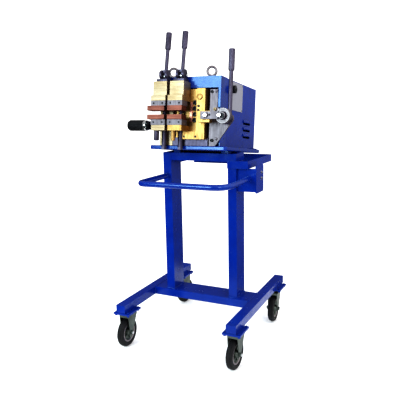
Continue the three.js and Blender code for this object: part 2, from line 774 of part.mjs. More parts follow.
function movingPlaten() {
  const [clamp, rodBore] = clampBody(RIGHT_CLAMP_X, PLATEN_BOTTOM);
  const back = box(-204, PLATEN_RIGHT, 2, 40, PLATEN_BOTTOM, 295);
  const recessFloor = box(-197, PLATEN_RIGHT, -2, 3, PLATEN_BOTTOM, 295);
  const land = box(-152, PLATEN_RIGHT, -25, -1, 88, 295);
  const foot = box(-223, PLATEN_RIGHT, -25, 3, PLATEN_BOTTOM, 89);
  const boss = rodY(-136, 255, 15, -29, -24, 28);
  const lug = box(-130, LINK_PIN_X + 14, -58, -24, LINK_PIN_Z - 32, LINK_PIN_Z + 21);
  const pinBore = rodY(LINK_PIN_X, LINK_PIN_Z, LINK_PIN_R + 0.4, -70, -30);
  const keyway = box(-300, -90, 1.6, 14.4, PLATEN_BOTTOM - 5, 60.4);
  return cut(join(clamp, back, recessFloor, land, foot, boss, lug), rodBore, pinBore, keyway);
}

function slideRail() {
  const bed = box(-290, -98, -2, 40, ON_BASE, 51.5);
  const key = box(-290, -98, 2, 14, 51, 60);
  return join(bed, key);
}

// Sliding brass block with the thrust plate its cam presses on.
function upperJaw(x) {
  const main = box(x - 38, x + 38, -72, 1.7, 258, 328);
  const step = box(x - 40, x + 40, -88, 1.7, 233, 259);
  const thrust = box(x - 29, x + 29, -56, -2, 327, 341.5);
  return cut(join(main, step, thrust), rodZ(x, ROD_Y, ROD_BORE_R, 220, 360));
}

function jawHolder(x, z0, z1) {
  return box(x - 40, x + 40, -88, -32, z0 + GAP / 2, z1 - GAP / 2);
}

// Copper block with a shallow lengthwise groove that seats the wire.
function electrode(x0, x1, z0, z1, grooveZ) {
  const block = box(x0, x1, -94, -42, z0 + GAP / 2, z1 - GAP / 2);
  const groove = prismX(
    polygon([
      [-68 - 4, grooveZ],
      [-68, grooveZ - 4],
      [-68 + 4, grooveZ],
      [-68, grooveZ + 4],
    ]),
    x0 - 5,
    x1 + 5,
  );
  return cut(block, groove);
}

function pullRod(x) {
  const rod = rodZ(x, ROD_Y, ROD_R, -2, CAM_PIVOT_Z - 8);
  const eye = rodX(ROD_Y, CAM_PIVOT_Z, 12, x - 8, x + 8);
  const pin = rodX(ROD_Y, CAM_PIVOT_Z, PIN_R, x - 25, x + 25, 20);
  const springCup = rodZ(x, ROD_Y, 12.5, 13, LEDGE_BOTTOM - GAP);
  const nut = prismZ(hex(24), -1, 12).translate(x, ROD_Y, 0);
  const washer = rodZ(x, ROD_Y, 14, 11.5, 14);
  return join(rod, eye, pin, springCup, nut, washer);
}

function grip(radius, z0, z1) {
  const body = prismZ(fluted(radius, 1.3, 10), z0, z1 - 2);
  const collar = rodZ(0, 0, radius - 2, z0 - 4, z0 + 1, 20);
  const crown = rodZ(0, 0, radius - 1.5, z1 - 3, z1, 20);
  return join(body, collar, crown);
}

function clampLever(x) {
  const camY = ROD_Y + CAM_OFFSET_Y;
  const camZ = CAM_PIVOT_Z + CAM_OFFSET_Z;
  const cheeks = [-1, 1].map((side) => {
    const inner = x + side * 10;
    const outer = x + side * 21.5;
    const [x0, x1] = side < 0 ? [outer, inner] : [inner, outer];
    const heel = box(x0, x1, camY, camY + CAM_R, camZ - CAM_R, camZ);
    return join(rodX(camY, camZ, CAM_R, x0, x1, 28), heel);
  });
  const yoke = box(x - 21.5, x + 21.5, ROD_Y - 14, ROD_Y + 6, 376, 388);
  const shank = rodZ(0, 0, 9, 24, 141, 20);
  const hand = join(shank, grip(14.5, 138, 218)).rotateX(LEVER_LEAN).translate(x, ROD_Y, CAM_PIVOT_Z);
  const bore = rodX(ROD_Y, CAM_PIVOT_Z, PIN_R + 0.4, x - 40, x + 40, 20);
  return cut(join(...cheeks, yoke, hand), bore);
}

addHead("left_clamp_body", leftClampBody(), BRASS);
addHead("moving_platen", movingPlaten(), BRASS);
addHead("slide_rail", slideRail(), STEEL);

const ELECTRODE_ENDS = { left: [-387, -292], right: [-276, -197] };
const LOWER_TOP_Z = 166;
const UPPER_BOTTOM_Z = LOWER_TOP_Z + JAW_GAP;

for (const [side, x] of [
  ["left", LEFT_CLAMP_X],
  ["right", RIGHT_CLAMP_X],
]) {
  const [x0, x1] = ELECTRODE_ENDS[side];
  addHead(`upper_jaw_${side}`, upperJaw(x), BRASS);
  addHead(`upper_holder_${side}`, jawHolder(x, 209, 233), STEEL);
  addHead(`lower_holder_${side}`, jawHolder(x, LEDGE_TOP, 143), STEEL);
  addHead(`upper_electrode_${side}`, electrode(x0, x1, UPPER_BOTTOM_Z, 209, UPPER_BOTTOM_Z), COPPER);
  addHead(`lower_electrode_${side}`, electrode(x0, x1, 143, LOWER_TOP_Z, LOWER_TOP_Z), COPPER);
  addHead(`pull_rod_${side}`, pullRod(x), STEEL);
  addHead(`clamp_lever_${side}`, clampLever(x), DARK_STEEL);
}

// ---------------------------------------------------------------- feed mechanism
// Copper bar bolted in the platen's recess.
function busbar() {
  return box(-196, -182, -9, -2 - GAP, 136, 232);
}

function bearingPlate() {
  const outline = polygon([
    [-92, ON_BASE],
    [-60, ON_BASE],
    [SHAFT_X + 19, SHAFT_Z - 14.6],
    [SHAFT_X + 8, SHAFT_Z + 22.5],
    [-53, 205],
    [-53, 292],
    [-92, 292],
  ]);
  const lobe = rodY(SHAFT_X, SHAFT_Z, 24, 0, 10, 36);
  const housing = rodY(SHAFT_X, SHAFT_Z, 22, -19, 1, 36);
  const bore = rodY(SHAFT_X, SHAFT_Z, SHAFT_R + 0.4, -30, 20, 32);
  return cut(join(prismY(outline, 0, 10), lobe, housing), bore);
}

function feedHub() {
  const drum = rodY(SHAFT_X, SHAFT_Z, 31, DRUM_FRONT_Y, -20, 40);
  const shaft = rodY(SHAFT_X, SHAFT_Z, SHAFT_R, -21, LEVER_Y + LEVER_BOSS / 2 + 3, 32);
  const boss = rodY(SHAFT_X, SHAFT_Z, 17, LEVER_Y - LEVER_BOSS / 2, LEVER_Y + LEVER_BOSS / 2, 32);
  const journal = rodY(JOURNAL_X, JOURNAL_Z, JOURNAL_R, -79, DRUM_FRONT_Y + 1, 32);
  const nut = prismY(hex(22), -87, -78).translate(JOURNAL_X - 10, 0, JOURNAL_Z + 1);
  return join(drum, shaft, boss, journal, nut);
}

function feedLever() {
  const foot = SHAFT_Z + 17 + GAP;
  const rod = rodZ(LEVER_X, LEVER_Y, 10, foot, 386, 20);
  return join(rod, grip(15, 384, 482).translate(LEVER_X, LEVER_Y, 0));
}

function linkBar() {
  const near = -62;
  const far = -76;
  const bar = box(LINK_PIN_X - 26, JOURNAL_X - 20, far, near, LINK_PIN_Z - 18, LINK_PIN_Z + 17);
  const bigEnd = rodY(JOURNAL_X, JOURNAL_Z, 37, near - 1, DRUM_FRONT_Y - 1.5, 40);
  const journalBore = rodY(JOURNAL_X, JOURNAL_Z, JOURNAL_R + 1.4, far - 5, DRUM_FRONT_Y, 32);
  const pin = rodY(LINK_PIN_X, LINK_PIN_Z, LINK_PIN_R, near - 5, -34, 24);
  const pinHead = prismY(hex(24), far - 9, far + 1).translate(LINK_PIN_X, 0, LINK_PIN_Z);
  return join(cut(join(bar, bigEnd), journalBore), pin, pinHead);
}

// Hand screw that sets where the platen stops.
function adjustingKnob() {
  const barrel = prismX(fluted(28, 2, 12), -551, -468).translate(0, KNOB_Y, KNOB_Z);
  const nose = rodX(KNOB_Y, KNOB_Z, 24, -558, -550, 24);
  const collar = rodX(KNOB_Y, KNOB_Z, 26, -469, -450, 32);
  const flange = prismX(hex(42), -451, -430).translate(0, KNOB_Y, KNOB_Z);
  const screw = rodX(KNOB_Y, KNOB_Z, 8, -431, RIGHT_CLAMP_X - CLAMP_HALF - 5, 24);
  return join(barrel, nose, collar, flange, screw);
}

addHead("busbar", busbar(), COPPER);
addHead("bearing_plate", bearingPlate(), STEEL);
addHead("feed_hub", feedHub(), STEEL);
addHead("feed_lever", feedLever(), DARK_STEEL);
addHead("link_bar", linkBar(), STEEL);
addHead("adjusting_knob", adjustingKnob(), BLACK);

// ---------------------------------------------------------------- centre on the floor
const bounds = new THREE.Box3().setFromObject(group);
const middle = bounds.getCenter(new THREE.Vector3());
for (const mesh of group.children) {
  mesh.geometry.translate(-middle.x, -middle.y, -bounds.min.z);
}

export default group;
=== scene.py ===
"""Lever-operated butt welder on a blue four-caster trolley: looks, small hardware, light and camera."""
import json
import math

import bmesh
import bpy
from mathutils import Matrix, Vector


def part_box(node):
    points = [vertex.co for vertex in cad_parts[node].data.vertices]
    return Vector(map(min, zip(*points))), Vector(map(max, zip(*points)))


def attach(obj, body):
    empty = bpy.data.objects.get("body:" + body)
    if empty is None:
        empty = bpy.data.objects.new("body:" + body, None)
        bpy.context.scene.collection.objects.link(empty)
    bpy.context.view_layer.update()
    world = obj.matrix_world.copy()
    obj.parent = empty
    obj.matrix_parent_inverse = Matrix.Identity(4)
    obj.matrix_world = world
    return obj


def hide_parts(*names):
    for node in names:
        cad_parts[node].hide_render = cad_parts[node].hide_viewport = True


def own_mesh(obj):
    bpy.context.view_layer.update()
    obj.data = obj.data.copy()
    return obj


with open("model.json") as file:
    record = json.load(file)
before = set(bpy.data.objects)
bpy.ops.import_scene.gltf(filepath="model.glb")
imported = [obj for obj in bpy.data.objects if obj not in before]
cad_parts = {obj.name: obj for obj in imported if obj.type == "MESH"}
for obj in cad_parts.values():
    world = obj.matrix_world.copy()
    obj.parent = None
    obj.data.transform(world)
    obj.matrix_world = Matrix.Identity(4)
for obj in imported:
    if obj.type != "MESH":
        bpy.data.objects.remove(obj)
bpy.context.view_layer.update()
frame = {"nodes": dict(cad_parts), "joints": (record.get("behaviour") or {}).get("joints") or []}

NODES = frame["nodes"]
MM = 0.001

# ---------------------------------------------------------------- axes
# The trolley's axes are level, with the floor at z 0. The head's axes lean back
# with the machine: x from the base plate's right edge, y from its front edge and
# z from its underside. Both are in millimetres.
HEAD_TILT = math.radians(-6.8)
POST_LEFT_X = -206
POST_FRONT_Y = -314
SLIDE_RAIL_LEFT_X = -290
SLIDE_RAIL_Y = (-2, 40)
SLIDE_RAIL_BOTTOM_Z = 20.3


def trolley_matrix():
    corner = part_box("left_post")[0]
    origin = Vector((corner.x - POST_LEFT_X * MM, corner.y - POST_FRONT_Y * MM, 0))
    return Matrix.Translation(origin) @ Matrix.Scale(MM, 4)


def head_matrix():
    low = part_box("slide_rail")[0]
    turn = Matrix.Rotation(HEAD_TILT, 4, "X")
    front = turn @ Vector((SLIDE_RAIL_LEFT_X, SLIDE_RAIL_Y[0], SLIDE_RAIL_BOTTOM_Z)) * MM
    rear = turn @ Vector((SLIDE_RAIL_LEFT_X, SLIDE_RAIL_Y[1], SLIDE_RAIL_BOTTOM_Z)) * MM
    origin = Vector((low.x - front.x, low.y - front.y, low.z - rear.z))
    return Matrix.Translation(origin) @ turn @ Matrix.Scale(MM, 4)


TROLLEY = trolley_matrix()
HEAD = head_matrix()

# ---------------------------------------------------------------- camera
CAMERA_PLACE = (1125.3, -2648.3, 1231.9)  # in the trolley's axes
CAMERA_AZIMUTH = math.radians(25.66)
CAMERA_PITCH = math.radians(10.79)
CAMERA_ROLL = math.radians(-1.1)
CAMERA_LENS = 45.81


def make_camera():
    a, p, r = CAMERA_AZIMUTH, CAMERA_PITCH, CAMERA_ROLL
    back = Vector((math.sin(a) * math.cos(p), -math.cos(a) * math.cos(p), math.sin(p)))
    level = Vector((math.cos(a), math.sin(a), 0))
    upright = back.cross(level)
    right = level * math.cos(r) + upright * math.sin(r)
    up = upright * math.cos(r) - level * math.sin(r)
    turn = Matrix((right, up, back)).transposed().to_4x4()
    data = bpy.data.cameras.new("camera")
    data.lens = CAMERA_LENS
    data.sensor_width = 36
    data.clip_end = 60
    camera = bpy.data.objects.new("camera", data)
    camera.matrix_world = Matrix.Translation(TROLLEY @ Vector(CAMERA_PLACE)) @ turn
    bpy.context.scene.collection.objects.link(camera)
    bpy.context.scene.camera = camera


# ---------------------------------------------------------------- materials
def map_range(tree, value, low, high, to_low, to_high):
    """Adds a node that takes low..high to to_low..to_high, and gives its output."""
    node = tree.nodes.new("ShaderNodeMapRange")
    node.inputs["From Min"].default_value = low
    node.inputs["From Max"].default_value = high
    node.inputs["To Min"].default_value = to_low
    node.inputs["To Max"].default_value = to_high
    tree.links.new(value, node.inputs["Value"])
    return node.outputs["Result"]


class Shader:
    """A principled material and the few procedural steps that the surfaces share."""

    def __init__(self, name):
        self.material = bpy.data.materials.new(name)
        self.material.use_nodes = True
        self.tree = self.material.node_tree
        self.bsdf = self.tree.nodes["Principled BSDF"]
        self.coordinates = self.tree.nodes.new("ShaderNodeTexCoord").outputs["Object"]

    def set(self, **values):
        for label, value in values.items():
            self.bsdf.inputs[label.replace("_", " ")].default_value = value

    def link(self, output, socket):
        self.tree.links.new(output, socket)

    def noise(self, scale, detail=4, roughness=0.55, stretch=(1, 1, 1)):
        mapping = self.tree.nodes.new("ShaderNodeMapping")
        mapping.inputs["Scale"].default_value = stretch
        self.link(self.coordinates, mapping.inputs["Vector"])
        node = self.tree.nodes.new("ShaderNodeTexNoise")
        node.inputs["Scale"].default_value = scale
        node.inputs["Detail"].default_value = detail
        node.inputs["Roughness"].default_value = roughness
        self.link(mapping.outputs["Vector"], node.inputs["Vector"])
        return node.outputs["Fac"]

    def spread(self, value, low, high, to_low, to_high):
        return map_range(self.tree, value, low, high, to_low, to_high)

    def product(self, a, b):
        node = self.tree.nodes.new("ShaderNodeMath")
        node.operation = "MULTIPLY"
        self.link(a, node.inputs[0])
        self.link(b, node.inputs[1])
        return node.outputs[0]

    def mix(self, factor, a, b):
        node = self.tree.nodes.new("ShaderNodeMix")
        node.data_type = "RGBA"
        self.link(factor, node.inputs["Factor"])
        for side, socket in ((a, node.inputs[6]), (b, node.inputs[7])):
            if isinstance(side, tuple):
                socket.default_value = (*side, 1)
            else:
                self.link(side, socket)
        return node.outputs[2]

    def edges(self, radius):
        """1 on rounded-over edges, 0 on flat faces."""
        bevel = self.tree.nodes.new("ShaderNodeBevel")
        bevel.samples = 4
        bevel.inputs["Radius"].default_value = radius
        geometry = self.tree.nodes.new("ShaderNodeNewGeometry")
        dot = self.tree.nodes.new("ShaderNodeVectorMath")
        dot.operation = "DOT_PRODUCT"
        self.link(bevel.outputs["Normal"], dot.inputs[0])
        self.link(geometry.outputs["Normal"], dot.inputs[1])
        return self.spread(dot.outputs["Value"], 0.98, 0.8, 0, 1)

    def bump(self, height, distance, strength=1.0):
        node = self.tree.nodes.new("ShaderNodeBump")
        node.inputs["Distance"].default_value = distance
        node.inputs["Strength"].default_value = strength
        self.link(height, node.inputs["Height"])
        self.link(node.outputs["Normal"], self.bsdf.inputs["Normal"])

    def colour(self, output):
        self.link(output, self.bsdf.inputs["Base Color"])

    def roughness(self, output):
        self.link(output, self.bsdf.inputs["Roughness"])


def blue_enamel(name, shine, coat):
    """Thick sprayed enamel: faint orange peel, dusty patches, paler paint on a few worn edges."""
    s = Shader(name)
    s.set(Specular_IOR_Level=shine, Specular_Tint=(0.45, 0.72, 1, 1))
    s.set(Coat_Weight=coat, Coat_Roughness=0.06)
    patches = s.spread(s.noise(9, 5), 0.35, 0.7, 0, 1)
    paint = s.mix(patches, (0.0003, 0.0145, 0.175), (0.0005, 0.0205, 0.22))
    worn = s.product(s.edges(0.0012), s.spread(s.noise(60, 6, 0.7), 0.5, 0.62, 0, 0.2))
    s.colour(s.mix(worn, paint, (0.02, 0.12, 0.45)))
    s.roughness(s.spread(s.noise(22, 6, 0.65), 0.3, 0.75, 0.16, 0.32))
    s.bump(s.noise(420, 2), 0.00012, 0.6)
    return s.material


def grey_panel():
    s = Shader("grey_panel")
    speckle = s.spread(s.noise(700, 2), 0.3, 0.7, 0, 1)
    s.colour(s.mix(speckle, (0.2, 0.2, 0.24), (0.26, 0.26, 0.3)))
    s.roughness(s.spread(s.noise(30, 5), 0.3, 0.7, 0.38, 0.52))
    s.bump(s.noise(900, 2), 0.00008, 0.6)
    return s.material


def machined(name, light, dark, roughness, grain=(1, 1, 1), metallic=1.0, stains=0.35):
    """Machined metal: fine tool marks, a soft stain pattern and brighter edges."""
    s = Shader(name)
    s.set(Metallic=metallic)
    stain = s.spread(s.noise(14, 6, 0.6), 0.4, 0.72, 0, stains * 2)
    base = s.mix(stain, light, dark)
    bright = tuple(min(1.0, c * 1.25) for c in light)
    s.colour(s.mix(s.spread(s.edges(0.0008), 0, 1, 0, 0.6), base, bright))
    marks = s.noise(160, 3, 0.6, grain)
    s.roughness(s.spread(marks, 0.25, 0.75, roughness - 0.08, roughness + 0.12))
    s.bump(marks, 0.00006, 0.5)
    return s.material


def moulded_black(name, base, roughness):
    s = Shader(name)
    dust = s.spread(s.noise(40, 5), 0.45, 0.75, 0, 0.5)
    s.set(Specular_IOR_Level=0.25)
    s.colour(s.mix(dust, base, tuple(c * 2 + 0.004 for c in base)))
    s.roughness(s.spread(s.noise(120, 4), 0.3, 0.7, roughness - 0.08, roughness + 0.1))
    s.bump(s.noise(800, 2), 0.0001, 0.5)
    return s.material


def pale_floor():
    s = Shader("pale_floor")
    s.set(Specular_IOR_Level=0.1)
    s.colour(s.mix(s.noise(1.5, 3), (0.96, 0.96, 0.96), (0.97, 0.97, 0.97)))
    s.roughness(s.spread(s.noise(8, 3), 0.3, 0.7, 0.75, 0.85))
    return s.material


ALONG_X = (0.06, 1, 1)
UPRIGHT = (1, 1, 0.06)
LAMINATED = (1, 30, 1)

BLUE = blue_enamel("blue_enamel", 0.34, 0.06)
WIPED_BLUE = blue_enamel("wiped_blue_enamel", 0.75, 0.08)
PANEL = grey_panel()
BRASS = machined("brass", (0.41, 0.32, 0.215), (0.32, 0.215, 0.105), 0.46, ALONG_X)
BRASS_CAST = machined("brass_ground", (0.47, 0.295, 0.115), (0.34, 0.175, 0.05), 0.44, UPRIGHT, stains=0.4)
COPPER = machined("copper", (0.26, 0.1, 0.075), (0.11, 0.04, 0.034), 0.5, ALONG_X, stains=0.5)
# Brighter copper for the busbar alone: painted light that lifts the bar where it sits side-on in shade in
# the platen's recess.
COPPER_PAINTED_LIGHT = machined("copper_painted_light", (0.8, 0.36, 0.26), (0.55, 0.22, 0.16), 0.36, UPRIGHT)
STEEL = machined("ground_steel", (0.26, 0.228, 0.256), (0.19, 0.17, 0.19), 0.56, UPRIGHT)
BRIGHT = machined("bright_steel", (0.6, 0.6, 0.6), (0.38, 0.38, 0.39), 0.24)
ZINC = machined("zinc_plate", (0.13, 0.15, 0.135), (0.05, 0.065, 0.062), 0.42)
TURNED = machined("turned_steel", (0.29, 0.255, 0.27), (0.17, 0.155, 0.165), 0.46)
DARK_STEEL = machined("blackened_steel", (0.1, 0.088, 0.135), (0.04, 0.035, 0.052), 0.42, UPRIGHT,
                      metallic=0.85)
BLACK_OXIDE = machined("black_oxide", (0.012, 0.011, 0.014), (0.005, 0.005, 0.006), 0.4, metallic=0.6)
CORE_IRON = machined("varnished_laminations", (0.1, 0.09, 0.1), (0.04, 0.035, 0.035), 0.5, LAMINATED,
                     metallic=0.5)
BLACK = moulded_black("black_plastic", (0.0035, 0.0033, 0.005), 0.5)
RUBBER = moulded_black("black_rubber", (0.007, 0.0068, 0.008), 0.62)

CORNERS = ("front_left", "front_right", "rear_left", "rear_right")
SIDES = ("left", "right")

FINISHES = {
    "blue": (BLUE, ["left_rail", "right_rail", "cross_beam", "left_post", "right_post", "top_member",
                    "ring_front_right", "ring_left_rear", "handle_bracket", "cabinet_shell", "back_panel"]),
    "wiped blue": (WIPED_BLUE, ["push_handle", "base_plate", "hood"]),
    "panel": (PANEL, ["control_panel"]),
    "plastic": (BLACK, ["selector_knob", "tap_switch", "adjusting_knob", "contactor", "cable_gland"]),
    "zinc": (ZINC, ["eye_bolt_left", "eye_bolt_right", *(f"caster_fork_{c}" for c in CORNERS)]),
    "hubs": (ZINC, [f"wheel_hub_{c}" for c in CORNERS]),
    "tyres": (RUBBER, [f"tyre_{c}" for c in CORNERS]),
    "iron": (CORE_IRON, ["transformer_core"]),
    # Painted light: the busbar takes the brightened copper, not the electrodes' copper.
    "bar copper": (COPPER_PAINTED_LIGHT, ["busbar"]),
    "copper": (COPPER, ["primary_coil", "secondary_loop", "flexible_shunt",
                        *(f"{row}_electrode_{s}" for row in ("upper", "lower") for s in SIDES)]),
    "brass": (BRASS, ["left_clamp_body", *(f"upper_jaw_{s}" for s in SIDES)]),
    "ground brass": (BRASS_CAST, ["moving_platen"]),
    "steel": (STEEL, ["bearing_plate", "link_bar",
                      *(f"{row}_holder_{s}" for row in ("upper", "lower") for s in SIDES)]),
    "dark": (DARK_STEEL, ["slide_rail", "feed_hub", "feed_lever", *(f"pull_rod_{s}" for s in SIDES),
                          *(f"clamp_lever_{s}" for s in SIDES)]),
}

SHARP_EDGES = math.radians(38)
EDGE_RADIUS = {
    "blue": 0.0022, "wiped blue": 0.0022, "panel": 0.0005, "plastic": 0.0008, "zinc": 0.001,
    "copper": 0.0008, "brass": 0.0008, "ground brass": 0.001, "steel": 0.0007,
}
PLAIN_EDGE_RADIUS = 0.0006


def smooth_by_angle():
    """A node group that shades smooth, apart from edges sharper than SHARP_EDGES."""
    group = bpy.data.node_groups.new("smooth_by_angle", "GeometryNodeTree")
    group.interface.new_socket("Geometry", in_out="INPUT", socket_type="NodeSocketGeometry")
    group.interface.new_socket("Geometry", in_out="OUTPUT", socket_type="NodeSocketGeometry")
    start = group.nodes.new("NodeGroupInput")
    end = group.nodes.new("NodeGroupOutput")
    faces = group.nodes.new("GeometryNodeSetShadeSmooth")
    faces.domain = "FACE"
    edges = group.nodes.new("GeometryNodeSetShadeSmooth")
    edges.domain = "EDGE"
    edges.inputs["Shade Smooth"].default_value = False
    angle = group.nodes.new("GeometryNodeInputMeshEdgeAngle")
    sharp = group.nodes.new("FunctionNodeCompare")
    sharp.data_type = "FLOAT"
    sharp.operation = "GREATER_THAN"
    sharp.inputs[1].default_value = SHARP_EDGES
    group.links.new(angle.outputs["Unsigned Angle"], sharp.inputs[0])
    group.links.new(sharp.outputs["Result"], edges.inputs["Selection"])
    group.links.new(start.outputs[0], faces.inputs["Geometry"])
    group.links.new(faces.outputs[0], edges.inputs["Geometry"])
    group.links.new(edges.outputs[0], end.inputs[0])
    return group


SMOOTH = smooth_by_angle()


def soften(obj, radius):
    """Weld, round the hard edges a little, then shade smooth across the rest."""
    weld = obj.modifiers.new("weld", "WELD")
    weld.merge_threshold = 0.00002
    bevel = obj.modifiers.new("bevel", "BEVEL")
    bevel.width = radius
    bevel.segments = 2
    bevel.limit_method = "ANGLE"
    bevel.angle_limit = math.radians(40)
    bevel.harden_normals = False
    smooth = obj.modifiers.new("smooth", "NODES")
    smooth.node_group = SMOOTH
    flat = obj.modifiers.new("flat faces", "WEIGHTED_NORMAL")
    flat.weight = 100
    flat.keep_sharp = True


def finish_nodes():
    for name, (material, nodes) in FINISHES.items():
        for node in nodes:
            obj = NODES[node]
            obj.data.materials.clear()
            obj.data.materials.append(material)
            soften(obj, EDGE_RADIUS.get(name, PLAIN_EDGE_RADIUS))


# ---------------------------------------------------------------- mesh helpers
def piece(name, mesh, place, material, body):
    """A shaded object from a bmesh drawn in millimetres, moved to its place, riding on a body."""
    data = bpy.data.meshes.new(name)
    bmesh.ops.remove_doubles(mesh, verts=mesh.verts, dist=0.0005)
    bmesh.ops.recalc_face_normals(mesh, faces=mesh.faces)
    mesh.to_mesh(data)
    mesh.free()
    data.transform(place)
    data.materials.append(material)
    data.shade_smooth()
    data.set_sharp_from_angle(angle=SHARP_EDGES)
    obj = bpy.data.objects.new(name, data)
    bpy.context.scene.collection.objects.link(obj)
    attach(obj, body)
    return obj


def facing(x, y, z, axis):
    """Places a part drawn up its own z at a point, pointing along an axis such as +x or -y."""
    direction = {"x": Vector((1, 0, 0)), "y": Vector((0, 1, 0)), "z": Vector((0, 0, 1))}[axis[1]]
    if axis[0] == "-":
        direction = -direction
    return Matrix.Translation((x, y, z)) @ direction.to_track_quat("Z", "Y").to_matrix().to_4x4()


def hexagon(across):
    """Radius of a hexagon by angle."""
    def radius(angle):
        return across / 2 / math.cos((angle + math.pi / 6) % (math.pi / 3) - math.pi / 6)
    return radius


def revolve(mesh, place, rings, segments=36):
    """Adds a closed solid from rings of (height, radius), where a radius is a number or a rule by angle."""
    loops = []
    for height, radius in rings:
        loop = []
        for i in range(segments):
            angle = 2 * math.pi * i / segments
            r = radius(angle) if callable(radius) else radius
            loop.append(mesh.verts.new(place @ Vector((r * math.cos(angle), r * math.sin(angle), height))))
        loops.append(loop)
    for low, high in zip(loops, loops[1:]):
        for i in range(segments):
            j = (i + 1) % segments
            mesh.faces.new((low[i], low[j], high[j], high[i]))
    mesh.faces.new(list(reversed(loops[0])))
    mesh.faces.new(loops[-1])


def lathe(mesh, place, profile, segments=64):
    """Adds a ring from a closed profile of (height, radius) points."""
    loops = []
    for height, radius in profile:
        ring = []
        for i in range(segments):
            angle = 2 * math.pi * i / segments
            point = Vector((radius * math.cos(angle), radius * math.sin(angle), height))
            ring.append(mesh.verts.new(place @ point))
        loops.append(ring)
    for k, low in enumerate(loops):
        high = loops[(k + 1) % len(loops)]
        for i in range(segments):
            j = (i + 1) % segments
            mesh.faces.new((low[i], low[j], high[j], high[i]))


def sweep(mesh, path, radii, segments=12, closed=False, flatten=1.0):
    """Adds a round tube along a path of points, with one radius for each point."""
    count = len(path)
    loops = []
    side = None
    for k, point in enumerate(path):
        before = path[k - 1] if closed or k > 0 else point
        after = path[(k + 1) % count] if closed or k < count - 1 else point
        along = (after - before).normalized()
        if side is None:
            side = along.orthogonal().normalized()
        side = (side - along * side.dot(along)).normalized()
        other = along.cross(side)
        ring = []
        for i in range(segments):
            angle = 2 * math.pi * i / segments
            offset = side * math.cos(angle) + other * math.sin(angle) * flatten
            ring.append(mesh.verts.new(point + offset * radii[k]))
        loops.append(ring)
    for k in range(count if closed else count - 1):
        low, high = loops[k], loops[(k + 1) % count]
        for i in range(segments):
            j = (i + 1) % segments
            mesh.faces.new((low[i], low[j], high[j], high[i]))
    if not closed:
        mesh.faces.new(list(reversed(loops[0])))
        mesh.faces.new(loops[-1])


def block(mesh, low, high, bevel):
    """Adds a box with rounded edges."""
    made = bmesh.ops.create_cube(mesh, size=1)
    size = Vector(high) - Vector(low)
    middle = (Vector(high) + Vector(low)) / 2
    grow = Matrix.Diagonal((*size, 1))
    bmesh.ops.transform(mesh, matrix=Matrix.Translation(middle) @ grow, verts=made["verts"])
    edges = list({e for v in made["verts"] for e in v.link_edges})
    bmesh.ops.bevel(mesh, geom=edges, offset=bevel, segments=2, affect="EDGES", profile=0.6)


def socket_screw(mesh, place, radius, height):
    """Cap screw with a hexagon socket."""
    socket = hexagon(radius * 1.05)
    revolve(mesh, place, [
        (-1, radius * 0.96),
        (height - radius * 0.12, radius),
        (height, radius * 0.86),
        (height, socket),
        (height * 0.35, socket),
    ])


def hex_bolt(mesh, place, across, height, washer=0.0):
    """Hexagon head with a chamfered crown, on a washer if it has one."""
    base = 0
    if washer:
        base = 1.6
        revolve(mesh, place, [(-0.5, washer), (base - 0.4, washer), (base, washer - 0.5)])
    revolve(mesh, place, [
        (base - 0.2, hexagon(across)),
        (base + height - across * 0.06, hexagon(across)),
        (base + height, across * 0.45),
        (base + height + 0.05, across * 0.3),
    ])


def pan_screw(mesh, place, radius):
    """Low domed screw head with a straight slot."""
    revolve(mesh, place, [
        (-0.5, radius),
        (radius * 0.25, radius),
        (radius * 0.5, radius * 0.8),
        (radius * 0.62, radius * 0.4),
    ], 24)


# ---------------------------------------------------------------- trolley details
RAIL_X = 301
RAIL_HALF = 25
RAIL_TOP = 232
RAIL_BOTTOM = 190
BEAM_Y = (-328, -202)
POST_X = 183
POST_HALF = 23
POST_Y = (-314, -204)
MEMBER_BOTTOM = 941.5
RING_Z = (909.5, 947)
BRACKET_X = (206.3, 306)
BRACKET_Z = (793, 909)
BRACKET_Y = (-300, -294)
HANDLE_Z = 859
HANDLE_R = 14
HANDLE_X = (-184, 268)
HANDLE_FRONT_Y = -606
HANDLE_BENDS = (48, 85)


def circle_points(radius, height, count=72):
    turns = (2 * math.pi * i / count for i in range(count))
    return [Vector((radius * math.cos(a), radius * math.sin(a), height)) for a in turns]


def line_points(corners, step=3.0, closed=False):
    """Points every few millimetres along straight stretches between corners."""
    corners = [Vector(c) for c in corners]
    if closed:
        corners.append(corners[0])
    points = []
    for a, b in zip(corners, corners[1:]):
        count = max(2, int((b - a).length / step))
        points += [a.lerp(b, i / count) for i in range(count)]
    if not closed:
        points.append(corners[-1])
    return points


def weld_bead(mesh, points, radius=3.4, closed=False):
    """Ripples of weld metal that swell and wander slightly along the joint."""
    radii = []
    for i in range(len(points)):
        ripple = 0.22 * math.sin(i * 2.1)
        wander = 0.16 * math.sin(i * 0.37 + 1.3) + 0.1 * math.sin(i * 0.83)
        radii.append(radius * (1 + ripple + wander))
    sweep(mesh, points, radii, 8, closed)


def post_welds(mesh):
    for side in (-1, 1):
        x = side * POST_X
        foot = [(x - POST_HALF, POST_Y[0], RAIL_TOP), (x + POST_HALF, POST_Y[0], RAIL_TOP),
                (x + POST_HALF, POST_Y[1], RAIL_TOP), (x - POST_HALF, POST_Y[1], RAIL_TOP)]
        weld_bead(mesh, line_points(foot, closed=True), closed=True)
    inner = POST_X - POST_HALF
    for x, radius in ((inner, 2.6), (-inner, 3)):
        seam = [(x, POST_Y[0], MEMBER_BOTTOM), (x, POST_Y[1], MEMBER_BOTTOM)]
        weld_bead(mesh, line_points(seam), radius)


def beam_welds(mesh):
    inner = RAIL_X - RAIL_HALF
    for side in (-1, 1):
        x = side * inner
        around = [(x, BEAM_Y[0], RAIL_BOTTOM), (x, BEAM_Y[0], RAIL_TOP), (x, BEAM_Y[1], RAIL_TOP),
                  (x, BEAM_Y[1], RAIL_BOTTOM)]
        weld_bead(mesh, line_points(around), 3)


